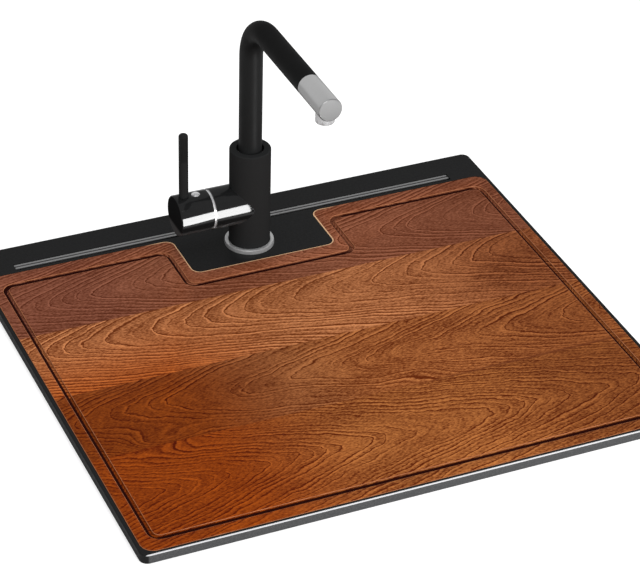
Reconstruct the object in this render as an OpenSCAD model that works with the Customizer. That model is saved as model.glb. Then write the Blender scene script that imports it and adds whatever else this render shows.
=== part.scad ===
// Workstation kitchen sink with a full-cover cutting board and a pull-out mixer tap.
// Millimetres. The worktop's upper face is z = 0, the middle of the sink is x = y = 0,
// +X is to the right, +Y to the wall behind the sink and +Z up.

/* [Rim and deck] */
// Width of the sink over its rim
rim_w = 560; // [540:5:620]
// Depth of the sink over its rim, front to back
rim_d = 510; // [500:5:560]
// Height of the rim above the worktop
rim_h = 9.2; // [8.6:0.1:14]
// Corner radius of the rim, seen from above
rim_corner_r = 8; // [4:0.5:14]
// Rounding of the rim's upper edge
rim_edge_r = 1.2; // [0.6:0.1:2]
// Width of the rim's strip round the board
strip_w = 3.5; // [2.5:0.5:6]
// Overlap of the rim on the worktop
overlap_w = 18; // [16:1:22]
// Depth of the rear deck, from the rear edge to the board's recess
deck_d = 46.5; // [44:0.5:54]
// Thickness of the moulding under the rear deck and the tap
deck_t = 13.2; // [12:0.2:16]
// Width of the tongue that carries the tap
tongue_w = 152.6; // [130:0.2:180]
// Length of the tongue, forward from the recess's rear edge
tongue_l = 65.2; // [60:0.2:72]
// Wall thickness of the moulding round the board's well
well_wall = 9; // [8:0.5:11]

/* [Bowl] */
// Thickness of the bowl's walls
bowl_wall = 8; // [6:0.5:9]
// Thickness of the bowl's floor
bowl_floor = 9; // [7:0.5:12]
// Inner depth of the bowl below the worktop's upper face
bowl_depth = 195; // [180:5:220]
// Inner radius of the bowl's corners and of its floor's edge
bowl_r = 22; // [16:1:30]
// Width of the ledge between the well and the bowl
ledge_w = 8; // [5:0.5:12]
// Distance from the tongue's front edge to the bowl's rear wall
bowl_back = 28.3; // [26:0.1:34]
// Place of the drain behind the sink's middle
drain_y = 10; // [-20:1:20]

/* [Rear slot] */
// Length of the slot
slot_l = 482; // [440:2:500]
// Width of the slot
slot_w = 11.5; // [11:0.5:12.5]
// Depth of the slot
slot_depth = 6; // [4:0.2:7]
// Distance from the sink's rear edge to the slot
slot_back = 32; // [30.5:0.5:32.5]
// Width of the ridged rail in the slot
rail_w = 7.2; // [6.6:0.2:9]
// Width of each ridge of the rail
ridge_w = 2.3; // [1.6:0.1:2.6]
// Height of the ridges above the rail's middle
ridge_h = 1.2; // [0.8:0.1:2]

/* [Cutting board] */
// Gap round the board in its recess
board_gap = 0.5; // [0.4:0.1:1.2]
// Thickness of the board
board_t = 18; // [15:0.5:19]
// Thickness of the board's lip, which is the depth of the recess
lip_t = 5.7; // [5:0.1:6.2]
// Corner radius of the board
board_r = 13; // [8:0.5:18]
// Radius of the corners where the notch opens
mouth_r = 10; // [6:0.5:12]
// Radius of the corners inside the notch
notch_r = 9; // [5:0.5:14]
// Width of the lip round the notch
notch_lip = 12; // [11:0.5:13]
// Clearance round the board's plug in the well
plug_gap = 1; // [0.8:0.1:1.6]
// Width of the juice groove
groove_w = 5.5; // [4:0.5:7]
// Corner radius of the juice groove
groove_r = 10; // [7:0.5:13]
// Groove's centre line from the board's sides
groove_side = 13.75; // [12:0.25:16]
// Groove's centre line from the board's front edge
groove_front = 15.75; // [13:0.25:18]
// Groove's centre line from the board's rear edges
groove_rear = 20.25; // [17:0.25:23]

/* [Tap body] */
// Tap's axis, to the right of the sink's middle
tap_x = -4; // [-8:0.5:0]
// Distance from the sink's rear edge to the tap's axis
tap_back = 78; // [75:0.5:81]
// Radius of the tap's body
body_r = 21.05; // [20.6:0.05:23]
// Height of the body's top above the worktop
body_top = 120.5; // [112:0.5:135]
// Radius of the side branch and its knob
branch_r = 20.9; // [20.4:0.1:21]
// Height of the side branch above the worktop
branch_z = 58.2; // [54:0.2:64]
// Length of the side branch, from the tap's axis
branch_l = 43; // [42:0.5:50]
// Radius of the base ring
base_r = 25.5; // [24.8:0.1:28]
// Height of the base ring
base_h = 4.6; // [4:0.1:6]
// Radius of the hole through the deck
tap_hole_r = 17.5; // [16.8:0.1:18]
// Outer radius of the threaded shank
shank_r = 16; // [15.4:0.1:16.2]
// Inner radius of the threaded shank
shank_bore_r = 13; // [12.9:0.1:13.4]
// Depth that the shank reaches below the worktop's upper face
shank_down = 40; // [32:1:50]

/* [Control] */
// Length of the control knob
knob_l = 35; // [34:0.2:42]
// Gap between the trim ring and the knob
knob_gap = 0.6; // [0.5:0.1:1]
// Thickness of the trim ring
trim_t = 2.4; // [1.8:0.1:2.8]
// Depth of the trim ring below the branch's surface
trim_inset = 1; // [0.4:0.1:1.4]
// Radius of the lever rod
lever_r = 4.8; // [4:0.1:5.6]
// Lever rod's axis from the knob's outer end
lever_in = 9.7; // [8:0.1:12]
// Height of the lever's tip above the worktop
lever_top = 151.2; // [140:0.2:180]
// Plug's axis from the knob's inner end
plug_in = 12.5; // [12.3:0.1:13.2]
// Radius of the plug's dome
plug_r = 4.4; // [3.6:0.1:4.8]
// Angle that the knob tips outward to open the water
tilt_open = 15; // [10:1:16]

/* [Spout] */
// Radius of the spout tube
spout_r = 11.75; // [11.4:0.05:12.4]
// Inner radius of the spout tube
spout_bore_r = 8.6; // [8.2:0.1:9]
// Height of the arm's axis above the worktop
arm_z = 266.2; // [240:0.2:300]
// Radius of the elbow's centre line
elbow_r = 41.5; // [30:0.5:50]
// Reach of the spout, from its axis to the head's end face
reach = 191.4; // [180:1:230]
// Length of the spray head
head_l = 49.2; // [46:0.2:64]
// Aerator's axis from the head's end face
aerator_in = 12.4; // [11:0.1:14]
// Radius of the aerator's collar
aerator_r = 9.1; // [8:0.1:9.6]
// Length of the collar below the head
aerator_drop = 6.2; // [4:0.1:8]

/* [Waste] */
// Radius of the hole in the bowl's floor
drain_r = 45; // [44.5:0.1:46]
// Radius of the strainer's flange
strainer_r = 56.5; // [54:0.5:60]
// Depth of the strainer's cup below the bowl's floor
cup_depth = 48; // [42:1:60]
// Radius of the outlet's thread
outlet_r = 23.9; // [23:0.1:25]
// Length of the outlet's tube
outlet_l = 34; // [28:1:50]
// Height of the overflow's middle below the worktop's upper face
overflow_down = 52; // [48:1:60]

/* [Fixings] */
// Thickness of the worktop that the clips grip
worktop_t = 40; // [38:1:42]
// Width of a mounting clip
clip_w = 16; // [12:1:20]
// Thickness of a clip's steel strip
clip_t = 1.5; // [1:0.1:2]
// Distance of the front and rear clips from the sink's middle
clip_x = 180; // [150:5:200]
// Distance of the side clips from the sink's middle
clip_y = 130; // [90:5:150]

/* [Hidden] */
$fn = 72;
EPS = 0.01;

// Half sizes and lines of the moulding
hx = rim_w / 2;
hy = rim_d / 2;
under_x = hx - overlap_w;
under_y = hy - overlap_w;
under_r = 12;
bearing_w = 15.5;
board_clear = 1;
tongue_lap = 0.7;
relief_lap = 2.3;
cut_past = 40;
recess_x = hx - strip_w;
recess_front = -hy + strip_w;
recess_rear = hy - deck_d;
recess_z = rim_h - lip_t;
tongue_x = tongue_w / 2;
tongue_front = recess_rear - tongue_l;
well_x = under_x - well_wall;
well_front = -under_y + well_wall;
well_rear = recess_rear - bearing_w;
well_r = 16;
well_z = rim_h - board_t - board_clear;
under_z = well_z - well_wall;
well_tongue_x = tongue_x + notch_lip + tongue_lap;
well_tongue_y = tongue_front - notch_lip + tongue_lap;
deck_under_z = rim_h - deck_t;

// Bowl
bowl_x = well_x - ledge_w;
bowl_y0 = well_front + ledge_w;
bowl_y1 = tongue_front - bowl_back;
floor_z = -bowl_depth;
floor_under_z = floor_z - bowl_floor;
relief_x = 75;
relief_y = tongue_front - relief_lap;

// Rear slot and its rail
slot_y1 = hy - slot_back;
slot_y0 = slot_y1 - slot_w;
slot_z = rim_h - slot_depth;
rail_fit = 0.15;
rail_top = rim_h - 0.6;
rail_end = 0.5;

// Board
board_x = recess_x - board_gap;
board_y0 = recess_front + board_gap;
board_y1 = recess_rear - board_gap;
notch_x = tongue_x + board_gap;
notch_y = tongue_front - board_gap;
board_under_z = rim_h - board_t;

// Tap
tap_y = hy - tap_back;
ring_top = rim_h + base_h;
socket_d = 1.2;
seal_h = 1.2;
body_z = ring_top - socket_d;
body_edge_r = 1.2;
thread_gap = 0.05;
shank_in = 16;
shank_top = body_z + shank_in;
spout_hole_r = 14;
spout_hole_z = branch_z + 21.8;
cart_r = 17.5;
cart_l = 20.3;
cart_fit = 0.1;
nut_l = 4.5;
branch_x = tap_x - branch_l;
cart_x = branch_x + nut_l;
cart_back_x = cart_x + cart_l;
inlet_r = 4.6;
inlet_l = 10;
inlet_x = tap_x - 5;
inlet_dy = 6.2;
hose_way_x = tap_x + 6.3;
hose_way_r = 6.5;
washer_gap = 0.3;
washer_r = base_r + 1.5;
washer_t = 2;
clamp_r = base_r + 2;
clamp_t = 2.5;
clamp_z = deck_under_z - washer_t - clamp_t;
nut_r = base_r + 0.5;
nut_h = 10;

// Control
trim_x = branch_x - trim_t;
knob_x = trim_x - knob_gap;
knob_end = knob_x - knob_l;
knob_hole_r = 17.8;
knob_hole_l = 7;
knob_edge_r = 1.5;
neck_r = 13;
turret_r = 12;
turret_x = branch_x - 3.5;
stem_a = 8;
stem_fit = 0.1;
stem_swing = 5.3;
stem_eye_r = 3.4;
pivot_z = branch_z - 8;
stem_l = 22.8;
pin_r = 1.5;
pin_l = 14.6;
pin_fit = 0.05;
lever_x = knob_end + lever_in;
lever_foot = branch_z + 6;
plug_x = knob_x - plug_in;
grub_r = 2.5;
grub_top = branch_z + 12;
plug_stem_r = 2.9;
knob_top = branch_z + branch_r;

// Spout and head
bush_fit = 0.05;
bush_top = body_top - 8.5;
bush_foot = spout_hole_z + 4;
spout_foot = spout_hole_z + 2;
lock_z = bush_top - 11;
lock_r = 2;
lock_w = 4.6;
lock_groove_r = 10.6;
seal_r = 0.85;
seal_zs = [spout_foot + 5, spout_foot + 10.5];
elbow_y = tap_y - elbow_r;
head_end = tap_y - reach;
head_y = head_end + head_l;
head_gap = 0.3;
head_edge_r = 1.2;
spigot_r = spout_bore_r - 0.08;
spigot_l = 14;
hose_r = 6;
hose_end = elbow_y - 2.5;
aerator_y = head_end + aerator_in;
aerator_z = arm_z - spout_r - aerator_drop;
aerator_up = aerator_z + 11;

// Waste and overflow
flange_t = 1.2;
sink_in = 2;
strainer_gap = 1;
pad_t = 1;
flange_z = floor_z - sink_in + pad_t;
cup_r = drain_r - 1.5;
cup_taper = 2;
cup_z = floor_z - cup_depth;
cup_floor_z = cup_z + flange_t;
gasket_t = 2.5;
waste_z = floor_under_z - gasket_t;
waste_r = drain_r + 5;
waste_bore_r = drain_r + 1.5;
waste_foot = cup_z - 5;
funnel_z = waste_foot - 18;
outlet_z = funnel_z - outlet_l;
outlet_bore_r = outlet_r - 4.9;
hub_r = 9;
hub_l = 16;
screw_r = 3;
screw_fit = 0.05;
screw_head_r = 6;
screw_head_h = 3;
basket_r = cup_r - 5.5;
basket_t = 1;
basket_sink = 3;
basket_h = 27;
basket_taper = 3;
basket_rim_w = 2.8;
basket_hole_r = 1.8;
basket_rings = [[13, 10], [21, 16], [29, 22]];
basket_slots = 20;
basket_slot_w = 3;
basket_slot_h = 12;
basket_slot_up = 8;
basket_slot_in = 8;
basket_top = floor_z - basket_sink;
basket_foot = basket_top - basket_h;
basket_rim_r = basket_r + basket_rim_w;
post_r = 4;
basket_knob_r = 9;
stopper_r = 33;
stopper_t = 3;
stopper_z = cup_floor_z + 0.3;
overflow_z = -overflow_down;
overflow_r = 14;
neck_out_r = 13;
pipe_r = 11;
pipe_bore_r = 9.5;
pipe_bend_r = 16;
pipe_low_bend_r = 25;
pipe_low_z = cup_z + 11;
port_r = 13.5;
port_l = 20;
overflow_flange_r = 24;
overflow_seal_t = 2;
overflow_flange_t = 3;
overflow_y = bowl_y1 + bowl_wall;

// Fixings
seal_groove_w = 5;
seal_groove_in = 9;
seal_groove_h = 1;
clip_foot_l = 14;
clip_top_z = -4;
clip_screw_z = -9.4;
clip_screw_r = 2;
clip_screw_l = 7;
clip_head_r = 4;
clip_head_h = 2.4;
clip_slot_r = 2.2;

// ---------- shared shapes ----------

// Rectangle with round corners, from (x0, y0) to (x1, y1)
module round_rect(x0, y0, x1, y1, r) {
  translate([x0 + r, y0]) square([x1 - x0 - 2 * r, y1 - y0]);
  translate([x0, y0 + r]) square([x1 - x0, y1 - y0 - 2 * r]);
  for (x = [x0 + r, x1 - r], y = [y0 + r, y1 - r]) translate([x, y]) circle(r);
}

// Half section of a pan's edge: upright wall at radius r, its foot rounded by e
module pan_edge(r, h, e) {
  intersection() {
    square([r, h]);
    union() {
      translate([0, e]) square([r, h - e]);
      square([r - e + EPS, h]);
      translate([r - e, e]) circle(e);
    }
  }
}

// Pan with corner radius r seen from above and its lower edge rounded by e
module pan(x0, y0, x1, y1, h, r, e) {
  corners = [[x1 - r, y1 - r, 0], [x0 + r, y1 - r, 90], [x0 + r, y0 + r, 180], [x1 - r, y0 + r, 270]];
  for (c = corners) translate([c[0], c[1], 0]) rotate([0, 0, c[2]])
    rotate_extrude(angle = 90) pan_edge(r, h, e);
  for (s = [[x1 - r, y0 + r, 0, y1 - y0 - 2 * r], [x1 - r, y1 - r, 90, x1 - x0 - 2 * r],
            [x0 + r, y1 - r, 180, y1 - y0 - 2 * r], [x0 + r, y0 + r, 270, x1 - x0 - 2 * r]])
    translate([s[0], s[1], 0]) rotate([0, 0, s[2]])
      translate([0, s[3], 0]) rotate([90, 0, 0]) linear_extrude(s[3]) pan_edge(r, h, e);
  translate([x0 + r, y0 + r, 0]) cube([x1 - x0 - 2 * r, y1 - y0 - 2 * r, h]);
}

// Outline of the board's lip; g widens it to the recess
module lip_plan(g) {
  nx = notch_x - g;
  mr = mouth_r + g;
  difference() {
    round_rect(-board_x - g, board_y0 - g, board_x + g, board_y1 + g, board_r + g);
    round_rect(-nx, notch_y + g, nx, hy + cut_past, notch_r - g);
    for (s = [-1, 1]) translate([s * (nx + mr), board_y1 + g - mr]) difference() {
      translate([s < 0 ? 0 : -mr - EPS, 0]) square([mr + EPS, mr + 1]);
      circle(mr);
    }
  }
}

// Outline of the board's plug; g is negative for the plug and 0 for its well
module plug_plan(g) {
  difference() {
    round_rect(-well_x - g, well_front - g, well_x + g, well_rear + g, well_r + g);
    round_rect(-well_tongue_x + g, well_tongue_y + g, well_tongue_x - g, hy + cut_past, notch_r - g);
  }
}

// Ring or tube about +Z
module tube(r, bore, h) {
  difference() {
    cylinder(r = r, h = h);
    translate([0, 0, -1]) cylinder(r = bore, h = h + 2);
  }
}

// Cylinder from z = 0 up to h with its upper edge rounded by e
module round_top(r, h, e) {
  rotate_extrude() intersection() {
    square([r, h]);
    union() {
      square([r, h - e]);
      square([r - e, h]);
      translate([r - e, h - e]) circle(e);
    }
  }
}

// Points +Z of its children along -X from the branch's axis
module on_branch(x) {
  translate([x, tap_y, branch_z]) rotate([0, -90, 0]) children();
}

// Points +Z of its children along -Y on the arm's axis
module on_arm(y) {
  translate([tap_x, y, arm_z]) rotate([90, 0, 0]) children();
}

// Places its children at each clip, with +X pointing out of the sink
module at_clips() {
  for (s = [-1, 1]) {
    for (y = [-clip_y, clip_y]) translate([s * under_x, y, 0])
      rotate([0, 0, s > 0 ? 0 : 180]) children();
    for (x = [-clip_x, clip_x]) translate([x, s * under_y, 0]) rotate([0, 0, s * 90]) children();
  }
}

// ---------- sink ----------

module sink_moulding() {
  color("#262626") difference() {
    union() {
      translate([0, 0, rim_h]) mirror([0, 0, 1]) pan(-hx, -hy, hx, hy, rim_h, rim_corner_r, rim_edge_r);
      translate([0, 0, under_z]) linear_extrude(-under_z + EPS)
        round_rect(-under_x, -under_y, under_x, under_y, under_r);
      translate([0, 0, floor_under_z])
        pan(-bowl_x - bowl_wall, bowl_y0 - bowl_wall, bowl_x + bowl_wall, overflow_y,
            -floor_under_z, bowl_r + bowl_wall, bowl_r + bowl_wall);
    }
    translate([0, 0, recess_z]) linear_extrude(lip_t + 1) lip_plan(board_gap);
    translate([0, 0, well_z]) linear_extrude(recess_z - well_z + EPS) plug_plan(0);
    translate([0, 0, floor_z]) pan(-bowl_x, bowl_y0, bowl_x, bowl_y1, -floor_z, bowl_r, bowl_r);
    // Under the tongue and the tap the moulding is only as thick as the deck
    translate([-relief_x, relief_y, under_z - 1]) cube([2 * relief_x, hy, deck_under_z - under_z + 1]);
    translate([-slot_l / 2, slot_y0, slot_z]) cube([slot_l, slot_w, slot_depth + 1]);
    translate([tap_x, tap_y, deck_under_z - 1]) cylinder(r = tap_hole_r, h = deck_t + 2);
    translate([0, drain_y, floor_under_z - 1]) cylinder(r = drain_r, h = bowl_floor + 2);
    translate([0, drain_y, floor_z - sink_in]) cylinder(r = strainer_r + strainer_gap, h = sink_in + 1);
    translate([0, overflow_y + 1, overflow_z]) rotate([90, 0, 0])
      cylinder(r = overflow_r, h = bowl_wall + 2);
    translate([0, 0, -EPS]) linear_extrude(seal_groove_h + EPS) seal_plan();
    at_clips() translate([-clip_screw_l, 0, clip_screw_z]) rotate([0, 90, 0])
      cylinder(r = clip_screw_r + screw_fit, h = clip_screw_l + 1);
  }
}

// Outline of the groove and the seal under the rim
module seal_plan() {
  o = seal_groove_in;
  i = seal_groove_in + seal_groove_w;
  difference() {
    round_rect(-hx + o, -hy + o, hx - o, hy - o, under_r);
    round_rect(-hx + i, -hy + i, hx - i, hy - i, under_r - seal_groove_w);
  }
}

module slot_rail() {
  y0 = slot_y1 - rail_w;
  y1 = slot_y1 - rail_fit;
  h = rail_top - slot_z;
  color("#b4b4b4") difference() {
    translate([-slot_l / 2 + rail_end, y0, slot_z]) cube([slot_l - 2 * rail_end, y1 - y0, h]);
    translate([-slot_l, y0 + ridge_w, rail_top - ridge_h])
      cube([2 * slot_l, y1 - y0 - 2 * ridge_w, ridge_h + 1]);
  }
}

module rim_seal() {
  color("#3a3a3a") linear_extrude(seal_groove_h) seal_plan();
}

module mounting_clips() {
  foot_z = -worktop_t - clip_t;
  color("#b9bcc0") at_clips() difference() {
    union() {
      translate([0, -clip_w / 2, foot_z]) cube([clip_t, clip_w, clip_top_z - foot_z]);
      translate([0, -clip_w / 2, foot_z]) cube([clip_foot_l, clip_w, clip_t]);
    }
    for (z = [clip_screw_z - 5, clip_screw_z + 1]) translate([-1, 0, z]) rotate([0, 90, 0])
      cylinder(r = clip_slot_r, h = clip_t + 2);
    translate([-1, -clip_slot_r, clip_screw_z - 5]) cube([clip_t + 2, 2 * clip_slot_r, 6]);
  }
}

module clip_screws() {
  color("#c8cbd0") at_clips() {
    translate([-clip_screw_l + 0.5, 0, clip_screw_z]) rotate([0, 90, 0])
      cylinder(r = clip_screw_r, h = clip_screw_l + clip_t);
    translate([clip_t, 0, clip_screw_z]) rotate([0, 90, 0]) difference() {
      round_top(clip_head_r, clip_head_h, 1);
      for (a = [0, 90]) rotate([0, 0, a]) translate([-2.4, -0.5, clip_head_h - 1]) cube([4.8, 1, 2]);
    }
  }
}

// ---------- cutting board ----------

// Juice groove: round-bottomed runs and corners, parallel to the board's outline
module juice_groove() {
  r = groove_w / 2;
  gx = board_x - groove_side;
  gy0 = board_y0 + groove_front;
  gy1 = board_y1 - groove_rear;
  ny = notch_y - groove_rear;
  nx = notch_x + 13;
  g = groove_r;
  translate([0, 0, rim_h]) {
    for (s = [-1, 1]) {
      translate([s * gx, gy0 + g, 0]) rotate([-90, 0, 0]) cylinder(r = r, h = gy1 - gy0 - 2 * g);
      translate([s * nx, ny + g, 0]) rotate([-90, 0, 0]) cylinder(r = r, h = gy1 - ny - 2 * g);
    }
    translate([-gx + g, gy0, 0]) rotate([0, 90, 0]) cylinder(r = r, h = 2 * (gx - g));
    translate([-nx + g, ny, 0]) rotate([0, 90, 0]) cylinder(r = r, h = 2 * (nx - g));
    for (x = [-gx + g, nx + g]) translate([x, gy1, 0]) rotate([0, 90, 0])
      cylinder(r = r, h = gx - nx - 2 * g);
    corners = [
      [gx - g, gy1 - g, 0], [-gx + g, gy1 - g, 90], [-gx + g, gy0 + g, 180], [gx - g, gy0 + g, 270],
      [-nx - g, gy1 - g, 0], [nx + g, gy1 - g, 90], [-nx + g, ny + g, 180], [nx - g, ny + g, 270]
    ];
    for (c = corners) translate([c[0], c[1], 0]) rotate([0, 0, c[2]])
      rotate_extrude(angle = 90) translate([g, 0]) circle(r);
  }
}

module cutting_board() {
  color("#94492b") difference() {
    union() {
      translate([0, 0, recess_z]) linear_extrude(lip_t) lip_plan(0);
      translate([0, 0, board_under_z]) linear_extrude(board_t - lip_t + EPS) plug_plan(-plug_gap);
    }
    juice_groove();
  }
}

// ---------- waste and overflow ----------

module strainer_flange() {
  t = flange_t;
  color("#c9ccd0") translate([0, drain_y, 0]) difference() {
    rotate_extrude() polygon([
      [0, cup_z], [cup_r - cup_taper, cup_z], [cup_r, flange_z], [strainer_r, flange_z],
      [strainer_r, flange_z + t], [cup_r - t + 1, flange_z + t], [cup_r - t, flange_z],
      [cup_r - cup_taper - t, cup_floor_z], [0, cup_floor_z]
    ]);
    translate([0, 0, cup_z - 1]) cylinder(r = screw_r + 0.3, h = t + 2);
    for (a = [0:30:330]) rotate([0, 0, a]) translate([22, 0, cup_z - 1]) cylinder(r = 4, h = t + 2);
  }
}

module strainer_gasket() {
  color("#202020") translate([0, drain_y, floor_z - sink_in]) tube(strainer_r - 1, drain_r + 1, pad_t);
}

module waste_gasket() {
  color("#1c1c1c") translate([0, drain_y, waste_z]) tube(waste_r + 7, drain_r + 1, gasket_t);
}

module waste_body() {
  r = waste_r;
  b = waste_bore_r;
  color("#2b2b2d") translate([0, drain_y, 0]) {
    difference() {
      union() {
        rotate_extrude() polygon([
          [0, waste_z], [r + 8, waste_z], [r + 8, waste_z - 5], [r, waste_z - 5], [r, waste_foot],
          [outlet_r + 3, funnel_z], [outlet_r, funnel_z - 2], [outlet_r, outlet_z], [0, outlet_z]
        ]);
        translate([0, r + port_l, pipe_low_z]) rotate([90, 0, 0]) cylinder(r = port_r, h = port_l + 3);
      }
      rotate_extrude() polygon([
        [0, waste_z + 1], [b, waste_z + 1], [b, waste_foot], [outlet_bore_r, funnel_z],
        [outlet_bore_r, outlet_z - 1], [0, outlet_z - 1]
      ]);
      translate([0, r + port_l + 1, pipe_low_z]) rotate([90, 0, 0])
        cylinder(r = pipe_r + thread_gap, h = port_l + 10);
    }
    // Spider that holds the waste screw
    difference() {
      union() {
        translate([0, 0, cup_z - hub_l]) cylinder(r = hub_r, h = hub_l);
        for (a = [30, 150, 270]) rotate([0, 0, a]) translate([0, -1.5, waste_foot]) cube([b + 1, 3, 4]);
      }
      translate([0, 0, cup_z - hub_l - 1]) cylinder(r = screw_r + screw_fit, h = hub_l + 2);
    }
  }
}

module waste_screw() {
  color("#d5d7da") translate([0, drain_y, 0]) difference() {
    union() {
      translate([0, 0, cup_floor_z]) round_top(screw_head_r, screw_head_h, 1);
      translate([0, 0, cup_z - hub_l + 3]) cylinder(r = screw_r, h = hub_l);
    }
    translate([-screw_head_r - 1, -0.8, cup_floor_z + screw_head_h - 1.4])
      cube([2 * screw_head_r + 2, 1.6, 3]);
  }
}

module strainer_basket() {
  t = basket_t;
  color("#cdd0d3") translate([0, drain_y, 0]) difference() {
    rotate_extrude() polygon([
      [0, basket_foot], [basket_r - basket_taper, basket_foot], [basket_r, basket_top - t],
      [basket_rim_r, basket_top - t], [basket_rim_r, basket_top], [basket_r - t, basket_top],
      [basket_r - basket_taper - t, basket_foot + t], [0, basket_foot + t]
    ]);
    translate([0, 0, basket_foot - 1]) cylinder(r = post_r + thread_gap, h = t + 2);
    for (ring = basket_rings, k = [1:ring[1]]) rotate([0, 0, k * 360 / ring[1]])
      translate([ring[0], 0, basket_foot - 1]) cylinder(r = basket_hole_r, h = t + 2);
    for (k = [1:basket_slots]) rotate([0, 0, k * 360 / basket_slots])
      translate([basket_r - basket_slot_in, -basket_slot_w / 2, basket_foot + basket_slot_up])
        cube([2 * basket_slot_in, basket_slot_w, basket_slot_h]);
  }
}

module basket_post() {
  z = stopper_z + stopper_t;
  color("#d7d9dc") translate([0, drain_y, 0]) rotate_extrude() polygon([
    [0, z], [stopper_r - 3, z], [stopper_r - 3, z + 1],
    [post_r + 1, z + 1], [post_r + 1, basket_foot], [post_r, basket_foot],
    [post_r, basket_top - 6], [basket_knob_r - 1.5, basket_top - 5], [basket_knob_r, basket_top - 3],
    [basket_knob_r, basket_top - 1.5], [basket_knob_r - 1.5, basket_top], [0, basket_top]
  ]);
}

module basket_seal() {
  color("#222222") translate([0, drain_y, stopper_z]) tube(stopper_r, screw_head_r + 1.5, stopper_t);
}

module overflow_cover() {
  color("#cfd2d5") translate([0, bowl_y1, overflow_z]) rotate([90, 0, 0]) difference() {
    round_top(overflow_flange_r - 1, 2.6, 1.4);
    for (a = [0:45:315]) rotate([0, 0, a]) translate([8.5, 0, -1]) cylinder(r = 2.4, h = 5);
  }
}

module overflow_seal() {
  color("#1f1f1f") translate([0, overflow_y, overflow_z]) rotate([-90, 0, 0])
    tube(overflow_flange_r - 1, overflow_r + 0.5, overflow_seal_t);
}

// Elbow, fall and lower run of the pipe, of the radius r; its bore is cut by the same shape
module overflow_run(r, y0, y4) {
  y2 = y0 + pipe_bend_r;
  y3 = y2 - pipe_low_bend_r;
  z1 = overflow_z - pipe_bend_r;
  z2 = pipe_low_z + pipe_low_bend_r;
  translate([0, y0, z1]) rotate([0, -90, 0])
    rotate_extrude(angle = 90) translate([pipe_bend_r, 0]) circle(r);
  translate([0, y2, z2]) cylinder(r = r, h = z1 - z2);
  translate([0, y3, z2]) rotate([0, 90, 0])
    rotate_extrude(angle = 90) translate([pipe_low_bend_r, 0]) circle(r);
  translate([0, y3, pipe_low_z]) rotate([90, 0, 0]) cylinder(r = r, h = y3 - y4);
}

module overflow_pipe() {
  y0 = overflow_y + overflow_seal_t;
  y1 = y0 + overflow_flange_t;
  y4 = drain_y + waste_r + 2;
  color("#2b2b2d") difference() {
    union() {
      overflow_run(pipe_r, y1, y4);
      translate([0, y1, overflow_z]) rotate([90, 0, 0]) {
        cylinder(r = neck_out_r, h = y1 - bowl_y1);
        cylinder(r = overflow_flange_r, h = overflow_flange_t);
      }
    }
    overflow_run(pipe_bore_r, y1, y4 - 1);
    translate([0, y1, overflow_z]) rotate([90, 0, 0]) cylinder(r = pipe_bore_r, h = 30);
    translate([0, y0, overflow_z]) rotate([90, 0, 0]) cylinder(r = neck_out_r - 2, h = 30);
  }
}

// ---------- tap: base, body and deck fixing ----------

module tap_base_ring() {
  i = shank_r + 0.3;
  o = body_r + 0.1;
  color("#c4c6c8") translate([tap_x, tap_y, rim_h]) rotate_extrude() polygon([
    [i, seal_h], [base_r - 1.7, seal_h], [base_r - 1.7, 0], [base_r, 0], [base_r - 0.4, base_h - 0.6],
    [base_r - 1, base_h], [o, base_h], [o, base_h - socket_d], [i, base_h - socket_d]
  ]);
}

module base_seal() {
  color("#1a1a1a") translate([tap_x, tap_y, rim_h]) tube(base_r - 1.9, tap_hole_r + 0.4, seal_h);
}

module tap_body() {
  h = body_top - body_z;
  color("#2a2a2a") difference() {
    union() {
      translate([tap_x, tap_y, body_z]) round_top(body_r, h, body_edge_r);
      on_branch(tap_x) cylinder(r = branch_r, h = branch_l);
    }
    translate([tap_x, tap_y, spout_hole_z]) cylinder(r = spout_hole_r, h = body_top);
    on_branch(cart_back_x) cylinder(r = cart_r + cart_fit, h = branch_l);
    translate([tap_x, tap_y, body_z - 1]) cylinder(r = shank_r + thread_gap, h = shank_in + 1);
    for (s = [-1, 1]) translate([inlet_x, tap_y + s * inlet_dy, shank_top - 1])
      cylinder(r = inlet_r, h = inlet_l + 1);
    translate([hose_way_x, tap_y, shank_top - 1])
      cylinder(r = hose_way_r, h = spout_hole_z - shank_top + 2);
    translate([tap_x, tap_y, lock_z]) rotate([-90, 0, 0])
      cylinder(r = lock_r + thread_gap, h = body_r + 5);
  }
}

module threaded_shank() {
  color("#c8a85a") translate([tap_x, tap_y, -shank_down])
    tube(shank_r, shank_bore_r, shank_top + shank_down);
}

module rubber_washer() {
  color("#1a1a1a") translate([tap_x, tap_y, deck_under_z - washer_t])
    tube(washer_r, shank_r + washer_gap, washer_t);
}

module clamp_washer() {
  color("#c2c4c7") translate([tap_x, tap_y, clamp_z]) tube(clamp_r, shank_r + washer_gap, clamp_t);
}

module shank_nut() {
  color("#c8a85a") translate([tap_x, tap_y, clamp_z - nut_h]) difference() {
    cylinder(r = nut_r, h = nut_h, $fn = 6);
    translate([0, 0, -1]) cylinder(r = shank_r + thread_gap, h = nut_h + 2);
  }
}

// ---------- tap: cartridge and control ----------

module mixer_cartridge() {
  color("#e6e2d6") on_branch(cart_back_x) {
    cylinder(r = cart_r, h = cart_l);
  }
}

module cartridge_nut() {
  color("#c8a85a") on_branch(cart_x) tube(cart_r, neck_r + 0.3, nut_l);
}

module trim_ring() {
  color("#d8dadc") on_branch(branch_x) difference() {
    round_top(branch_r - trim_inset, trim_t, 0.4);
    translate([0, 0, -1]) cylinder(r = neck_r + 2, h = trim_t + 2);
  }
}

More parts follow.
